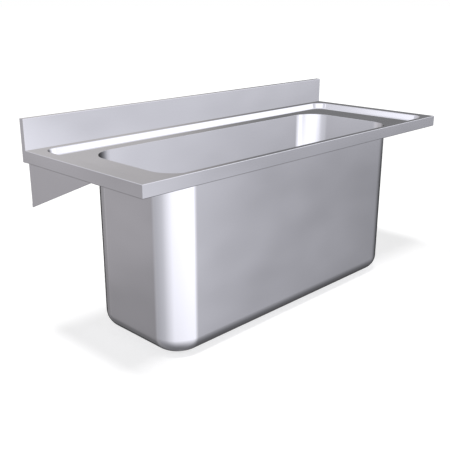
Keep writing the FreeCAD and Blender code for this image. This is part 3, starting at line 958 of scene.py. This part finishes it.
def thread(radius, bottom, top, pitch):
    """Profile of a screw thread, drawn as rings that stand at its pitch."""
    turns = round((top - bottom) / pitch)
    step = (top - bottom) / turns
    depth = THREAD_DEPTH * step
    points = [(radius - depth, bottom)]
    for turn in range(turns):
        points.append((radius, bottom + (turn + CREST_START) * step))
        points.append((radius, bottom + (turn + CREST_END) * step))
        points.append((radius - depth, bottom + (turn + 1) * step))
    return points


def hexagon_nut(name, axis, flats, bore, bottom, top, steps):
    """A hexagon nut: a bored disc with cone edges, cut to six flats."""
    corner = flats / math.sqrt(3)
    cone = (corner - flats / 2) * math.tan(CONE_ANGLE) * CONE_DEPTH
    face = flats / 2 * NUT_FACE
    profile = [
        (bore, bottom),
        (face, bottom),
        (corner, bottom + cone),
        (corner, top - cone),
        (face, top),
        (bore, top),
    ]
    nut = turned(name, profile, axis, steps)
    prism = new_piece(
        "flats", bpy.ops.mesh.primitive_cylinder_add, vertices=6, radius=corner, depth=2 * (top - bottom),
        location=(axis.x, axis.y, (bottom + top) / 2), rotation=(0, 0, math.radians(30)),
    )
    carve(nut, prism, "INTERSECT")
    return nut


class SINK_OT_fixings(bpy.types.Operator):
    """Turn the studs, washers and nuts that hold the brackets"""

    bl_idname = "sink.fixings"
    bl_label = "Bracket fixings"

    def execute(self, context):
        sizes = context.scene.sink_fittings
        (stud_x, first_y), *others = stud_places(sizes)
        axis = Vector((stud_x, first_y, 0))
        weld = studs_high.z
        end = studs_low.z
        profile = [(0, weld), (0, end), *thread(sizes.stud, end, weld, sizes.stud_pitch)]
        stud = turned("bracket_stud_set", profile, axis, STUD_STEPS)
        profile = ring(sizes.washer_bore, axis.x - washers_low.x, washers_low.z, washers_high.z)
        washer = turned("bracket_washer_set", profile, axis, WASHER_STEPS)
        break_edges(washer, sizes.fine_edge)
        flats = (axis.x - nuts_low.x) * math.sqrt(3)
        nut = hexagon_nut(
            "bracket_nut_set", axis, flats, sizes.nut_bore, nuts_low.z, nuts_high.z, NUT_STEPS,
        )
        for piece, node in ((stud, "bracket_studs"), (washer, "bracket_washers"), (nut, "bracket_nuts")):
            name = piece.name
            row = [piece]
            for _, y in others:
                copy = copy_of(piece, name)
                edit(copy)
                bpy.ops.transform.translate(value=(0, y - first_y, 0))
                close_edit()
                row.append(copy)
            row += [mirrored(copy, name) for copy in row]
            dress(join(row, name), "sink", "fastener_steel", node)
        return {"FINISHED"}


class SINK_OT_waste(bpy.types.Operator):
    """Turn the waste with its gaskets, slip washer and backnut"""

    bl_idname = "sink.waste"
    bl_label = "Waste"

    def execute(self, context):
        sizes = context.scene.sink_fittings
        flange = half_width(waste_low, waste_high)
        flange_under = floor_top - sizes.waste_flange
        body_end = flange_under - sizes.waste_body
        profile = [
            (sizes.outlet_bore, waste_low.z),
            *thread(sizes.outlet_thread, waste_low.z, body_end, sizes.pipe_pitch),
            *thread(sizes.waste_thread, body_end, flange_under, sizes.pipe_pitch),
            (flange, flange_under),
            (flange, floor_top - sizes.waste_flange / 2),
            (flange - sizes.waste_flange, floor_top),
            (sizes.seat_mouth, floor_top),
            (sizes.waste_bore, floor_top - sizes.seat_depth),
            (sizes.waste_bore, body_end + sizes.waste_step),
            (sizes.outlet_bore, body_end + sizes.waste_step),
        ]
        waste = turned("waste_fitting", profile, drain, sizes.turn_steps)
        dress(waste, "sink", "polished_steel", "waste_body")

        rings = (
            ("waste_gasket_upper", "black_rubber", "waste_top_gasket", top_gasket_low, top_gasket_high),
            ("waste_gasket_lower", "black_rubber", "waste_bottom_gasket", gasket_low, gasket_high),
            ("waste_washer", "white_nylon", "waste_slip_washer", slip_low, slip_high),
        )
        for name, slot, node, low, high in rings:
            profile = ring(sizes.gasket_bore, half_width(low, high), low.z, high.z)
            seal = turned(name, profile, drain, sizes.turn_steps)
            break_edges(seal, sizes.broken_edge)
            dress(seal, "sink", slot, node)

        flats = backnut_high.y - backnut_low.y
        nut = hexagon_nut(
            "waste_nut", drain, flats, sizes.backnut_bore, backnut_low.z, backnut_high.z, BACKNUT_STEPS,
        )
        break_edges(nut, sizes.broken_edge)
        dress(nut, "sink", "cast_brass", "waste_backnut")
        return {"FINISHED"}


class SINK_OT_standpipe(bpy.types.Operator):
    """Turn the standpipe: rubber plug, slotted tube, cap and knob"""

    bl_idname = "sink.standpipe"
    bl_label = "Standpipe"

    def execute(self, context):
        sizes = context.scene.sink_fittings
        outside = half_width(tube_low, tube_high)
        inside = outside - sizes.tube_wall
        profile = ring(inside, outside, tube_low.z, tube_high.z)
        tube = turned("standpipe_pipe", profile, drain, sizes.turn_steps)
        slot_z = tube_high.z - sizes.slot_top - sizes.slot_height / 2
        for place in range(sizes.slot_count):
            turn = 2 * math.pi * place / sizes.slot_count
            slot = new_piece(
                "slot", bpy.ops.mesh.primitive_cube_add, size=1, location=(outside, 0, slot_z),
                scale=(CUT_REACH * sizes.slot_width, sizes.slot_width, sizes.slot_height),
            )
            edit(slot)
            round_edges(sizes.slot_width * SLOT_END, SLOT_STEPS, lambda edge: near(middle(edge).x, outside))
            bpy.ops.mesh.select_all(action="SELECT")
            bpy.ops.transform.rotate(value=turn, orient_axis="Z", center_override=(0, 0, 0))
            bpy.ops.transform.translate(value=(drain.x, drain.y, 0))
            close_edit()
            carve(tube, slot)
        break_edges(tube, sizes.fine_edge)
        dress(tube, "standpipe", "polished_steel", "standpipe_tube")

        plug_outside = half_width(plug_low, plug_high)
        taper = (sizes.seat_mouth - sizes.waste_bore) / sizes.seat_depth
        plug = turned("standpipe_stopper", [
            (outside + sizes.fit, plug_low.z),
            (plug_outside - taper * (floor_top - plug_low.z), plug_low.z),
            (plug_outside, floor_top),
            (plug_outside, plug_high.z),
            (outside + sizes.fit, plug_high.z),
        ], drain, sizes.turn_steps)
        break_edges(plug, sizes.plug_edge, PLUG_STEPS)
        dress(plug, "standpipe", "black_rubber", "standpipe_plug")

        cap_outside = half_width(cap_low, cap_high)
        hole = sizes.knob_stem + sizes.fit
        cap = turned("standpipe_lid", [
            (hole, cap_low.z),
            (inside - sizes.fit, cap_low.z),
            (inside - sizes.fit, tube_high.z),
            (cap_outside, tube_high.z),
            (cap_outside, cap_high.z),
            (hole, cap_high.z),
        ], drain, sizes.turn_steps)
        break_edges(cap, sizes.cap_edge, GRIP_STEPS)
        dress(cap, "standpipe", "polished_steel", "standpipe_cap")

        head = half_width(knob_low, knob_high)
        head_foot = cap_high.z + sizes.knob_neck_height
        knob = turned("standpipe_grip", [
            (0, knob_low.z),
            (sizes.knob_stem, knob_low.z),
            (sizes.knob_stem, cap_high.z),
            (sizes.knob_neck, cap_high.z),
            (sizes.knob_neck, head_foot),
            (head, head_foot + KNOB_FLARE * (knob_high.z - head_foot)),
            (head, knob_high.z),
            (0, knob_high.z),
        ], drain, sizes.turn_steps)
        break_edges(knob, sizes.knob_edge, GRIP_STEPS)
        dress(knob, "standpipe", "polished_steel", "standpipe_knob")
        return {"FINISHED"}


# Light that the steel sees round the compass, from the wall's side clockwise, in degrees and level.
# Each band is for one slope of a direction: downwards, level and upwards.
LOW_LIGHT = (
    (-180, 1.48), (-126, 1.33), (-88, 0.71), (-60, 0.55), (-38, 0.57), (-30, 0.63), (-21, 0.36),
    (2, 0.33), (8, 0.0), (37, 0.0), (46, 0.6), (55, 0.0), (82, 0.04), (106, 0.2), (122, 0.48),
    (132, 0.68), (137, 0.86), (141, 1.1), (145, 1.1), (152, 1.5), (180, 1.48),
)
LEVEL_LIGHT = (
    (-180, 0.95), (-153, 1.5), (-115, 1.5), (-100, 1.28), (-89, 0.84), (-68, 0.74), (-56, 0.94),
    (-28, 0.65), (-8, 0.7), (12, 0.5), (25, 0.25), (36, 0.1), (60, 0.25), (92, 0.25), (105, 0.38),
    (119, 0.66), (128, 0.9), (141, 1.07), (148, 0.9), (151, 1.17), (155, 1.5), (163, 1.5), (176, 0.95),
    (180, 0.95),
)
HIGH_LIGHT = (
    (-180, 1.4), (-162, 2.0), (-101, 2.0), (-89, 1.3), (-77, 1.1), (-66, 1.5), (-59, 1.85), (-54, 1.1),
    (10, 0.8), (40, 0.6), (44, 0.4), (49, 0.25), (61, 0.25), (70, 0.42), (118, 2.0), (149, 2.0), (152, 1.1),
    (163, 1.1), (180, 1.4),
)
OVERHEAD_LIGHT = 1.3
UNDER_LIGHT = 0.2
# Upward parts of a direction between which one light passes into the next
LEVEL_RISE = (-0.24, -0.13)
HIGH_RISE = (-0.10, 0.08)
OVERHEAD_RISE = (0.4, 0.62)
UNDER_FALL = (-0.33, -1.0)
# The floor is dimmer by the wall: parts of a direction towards the wall and downwards, and how much
WALL_NEAR = 0.55
WALL_FULL = 0.75
FLOOR_NEAR = -0.345
FLOOR_FULL = -0.385
WALL_DIM = 0.2
# Degrees to each side of the wall's middle within which the light is warm
WARM_REACH = 48


class SINK_OT_stage(bpy.types.Operator):
    """Set up the floor, the studio light and the camera"""

    bl_idname = "sink.stage"
    bl_label = "Stage"

    def execute(self, context):
        stage = context.scene.sink_stage
        context.scene.view_settings.view_transform = "Standard"
        self.lay_floor(stage)
        self.light_world(context, stage)
        self.hang_lamps(context, stage)
        self.place_camera(context, stage)
        return {"FINISHED"}

    def lay_floor(self, stage):
        """A pale floor that shows white, with the sink's soft shadow. From below it is seen through."""
        centre = (drain.x, drain.y, pan_low.z - stage.floor_gap)
        floor = new_piece("studio_floor", bpy.ops.mesh.primitive_circle_add, vertices=FLOOR_STEPS,
                          radius=stage.floor_hole, location=centre)
        edit(floor)
        bpy.ops.mesh.extrude_region_move()
        share = stage.floor_size / stage.floor_hole
        bpy.ops.transform.resize(value=(share, share, 1), center_override=centre)
        face_outwards(lambda face: face.normal.z > 0)
        close_edit()
        material, tree = new_material("pale_studio_floor")
        away = add_node(tree, "ShaderNodeVectorMath", {
            0: add_node(tree, "ShaderNodeTexCoord").outputs["Object"], 1: (pan_low + pan_high) / 2,
        }, operation="DISTANCE")
        white = add_node(tree, "ShaderNodeMapRange", {
            "Value": away.outputs["Value"], "From Min": stage.lit_near, "From Max": stage.lit_far,
            "To Min": stage.floor_white, "To Max": 1.0,
        })
        glow = add_node(tree, "ShaderNodeMath", {
            0: seen_rays(tree), 1: white.outputs["Result"],
        }, operation="MULTIPLY")
        even = add_node(tree, "ShaderNodeEmission", {"Strength": glow.outputs["Value"]})
        paper = add_node(tree, "ShaderNodeBsdfDiffuse", {"Color": grey(stage.floor_paper)})
        both = add_node(tree, "ShaderNodeAddShader", {
            0: even.outputs["Emission"], 1: paper.outputs["BSDF"],
        })
        one_way = add_node(tree, "ShaderNodeMixShader", {
            0: add_node(tree, "ShaderNodeNewGeometry").outputs["Backfacing"],
            1: both.outputs["Shader"],
            2: add_node(tree, "ShaderNodeBsdfTransparent").outputs["BSDF"],
        })
        add_node(tree, "ShaderNodeOutputMaterial", {"Surface": one_way.outputs["Shader"]})
        floor.data.materials.append(material)
        floor.visible_glossy = False

    def light_world(self, context, stage):
        """White all round, with the bright panels and grey flags of a studio where the steel looks."""
        world = bpy.data.worlds.new("studio")
        context.scene.world = world
        world.use_nodes = True
        tree = world.node_tree
        tree.nodes.clear()
        ways = add_node(tree, "ShaderNodeSeparateXYZ", {
            "Vector": add_node(tree, "ShaderNodeTexCoord").outputs["Generated"],
        })
        turn = add_node(tree, "ShaderNodeMath", {
            0: ways.outputs["X"], 1: ways.outputs["Y"],
        }, operation="ARCTAN2")
        around = add_node(tree, "ShaderNodeMapRange", {
            "Value": turn.outputs["Value"], "From Min": -math.pi, "From Max": math.pi,
        })

        bands = []
        for band in (LOW_LIGHT, LEVEL_LIGHT, HIGH_LIGHT):
            ramp = add_node(tree, "ShaderNodeValToRGB", {"Fac": around.outputs["Result"]})
            stops = ramp.color_ramp.elements
            stops.remove(stops[1])
            for place, (degrees, level) in enumerate(band):
                position = (degrees + 180) / 360
                stop = stops.new(position) if place else stops[0]
                stop.position = position
                warmth = stage.warmth if abs(degrees) < WARM_REACH else 0
                stop.color = (level * (1 + warmth), level, level * (1 - warmth), 1)
            bands.append(ramp.outputs["Color"])
        dome, level_band, high_band = bands
        # The floor is darker straight below, and by the wall.
        layers = (
            (*LEVEL_RISE, "SMOOTHSTEP", level_band),
            (*HIGH_RISE, "SMOOTHSTEP", high_band),
            (*OVERHEAD_RISE, "SMOOTHSTEP", grey(OVERHEAD_LIGHT)),
            (*UNDER_FALL, "LINEAR", grey(UNDER_LIGHT)),
        )
        for start, end, passage, light in layers:
            share = add_node(tree, "ShaderNodeMapRange", {
                "Value": ways.outputs["Z"], "From Min": start, "From Max": end,
            }, interpolation_type=passage)
            dome = add_node(tree, "ShaderNodeMix", {
                "Factor": share.outputs["Result"], "A": dome, "B": light,
            }, data_type="RGBA").outputs["Result"]
        by_wall = add_node(tree, "ShaderNodeMapRange", {
            "Value": ways.outputs["Y"], "From Min": WALL_NEAR, "From Max": WALL_FULL,
        })
        on_floor = add_node(tree, "ShaderNodeMapRange", {
            "Value": ways.outputs["Z"], "From Min": FLOOR_NEAR, "From Max": FLOOR_FULL, "To Max": WALL_DIM,
        })
        dim = add_node(tree, "ShaderNodeMath", {
            0: by_wall.outputs["Result"], 1: on_floor.outputs["Result"],
        }, operation="MULTIPLY")
        dome = add_node(tree, "ShaderNodeMix", {
            "Factor": dim.outputs["Value"], "A": dome, "B": grey(0),
        }, data_type="RGBA").outputs["Result"]
        path = add_node(tree, "ShaderNodeLightPath")
        backdrop = add_node(tree, "ShaderNodeMix", {
            "Factor": path.outputs["Is Camera Ray"], "A": dome, "B": grey(1),
        }, data_type="RGBA")
        shown = add_node(tree, "ShaderNodeBackground", {
            "Color": backdrop.outputs["Result"], "Strength": 1.0,
        })
        soft = add_node(tree, "ShaderNodeBackground", {"Color": grey(1), "Strength": stage.ambient})
        mixed = add_node(tree, "ShaderNodeMixShader", {
            0: seen_rays(tree), 1: soft.outputs["Background"], 2: shown.outputs["Background"],
        })
        add_node(tree, "ShaderNodeOutputWorld", {"Surface": mixed.outputs["Shader"]})

    def hang_lamps(self, context, stage):
        """Two round lamps above the left, whose shadows overlap softly under the sink."""
        for name, depth in (("front_lamp", -stage.lamp_front), ("back_lamp", stage.lamp_back)):
            data = bpy.data.lights.new(name, "AREA")
            data.shape = "DISK"
            data.size = stage.lamp_size
            data.energy = stage.lamp
            lamp = bpy.data.objects.new(name, data)
            context.scene.collection.objects.link(lamp)
            lamp.location = (-stage.lamp_left, depth, stage.lamp_height)
            aim = (pan_low + pan_high) / 2 - lamp.location
            lamp.rotation_euler = aim.to_track_quat("-Z", "Y").to_euler()
            lamp.visible_glossy = False

    def place_camera(self, context, stage):
        """The photograph's view."""
        data = bpy.data.cameras.new("view")
        data.lens = stage.lens
        data.sensor_width = SENSOR_WIDTH
        data.clip_end = SIGHT
        camera = bpy.data.objects.new("view", data)
        context.scene.collection.objects.link(camera)
        target = Vector((stage.look_x, stage.look_y, stage.look_z))
        back = Vector((
            math.sin(stage.turn) * math.cos(stage.tilt),
            -math.cos(stage.turn) * math.cos(stage.tilt),
            math.sin(stage.tilt),
        ))
        camera.location = target + back * stage.distance
        camera.rotation_euler = (-back).to_track_quat("-Z", "Y").to_euler()
        context.scene.camera = camera


GROUPS = {
    "sink_sheets": SinkSheetSizes,
    "sink_fittings": SinkFittingSizes,
    "sink_finishes": SinkFinishes,
    "sink_stage": SinkStage,
}
PIECES = (
    SINK_OT_worktop,
    SINK_OT_upstand,
    SINK_OT_bowl,
    SINK_OT_brackets,
    SINK_OT_fixings,
    SINK_OT_waste,
    SINK_OT_standpipe,
    SINK_OT_stage,
)


class SINK_PT_panel(bpy.types.Panel):
    """Lists the sink's pieces and its stage"""

    bl_label = "Wall-mounted sink"
    bl_idname = "SINK_PT_panel"
    bl_space_type = "VIEW_3D"
    bl_region_type = "UI"
    bl_category = "Sink"

    def draw(self, context):
        for piece in PIECES:
            self.layout.operator(piece.bl_idname)
        for group in GROUPS:
            settings = getattr(context.scene, group)
            for name in settings.bl_rna.properties.keys():
                if name not in {"rna_type", "name"}:
                    self.layout.prop(settings, name)


def register():
    """Registers the settings, operators and panel."""
    for group, settings in GROUPS.items():
        bpy.utils.register_class(settings)
        setattr(bpy.types.Scene, group, PointerProperty(type=settings))
    for kind in (*PIECES, SINK_PT_panel):
        bpy.utils.register_class(kind)


def unregister():
    """Takes the settings, operators and panel away."""
    for kind in (SINK_PT_panel, *reversed(PIECES)):
        bpy.utils.unregister_class(kind)
    for group, settings in GROUPS.items():
        delattr(bpy.types.Scene, group)
        bpy.utils.unregister_class(settings)


def main():
    """Builds the sink and its stage in order."""
    register()
    for piece in PIECES:
        space, name = piece.bl_idname.split(".")
        getattr(getattr(bpy.ops, space), name)()


if __name__ == "__main__":
    main()
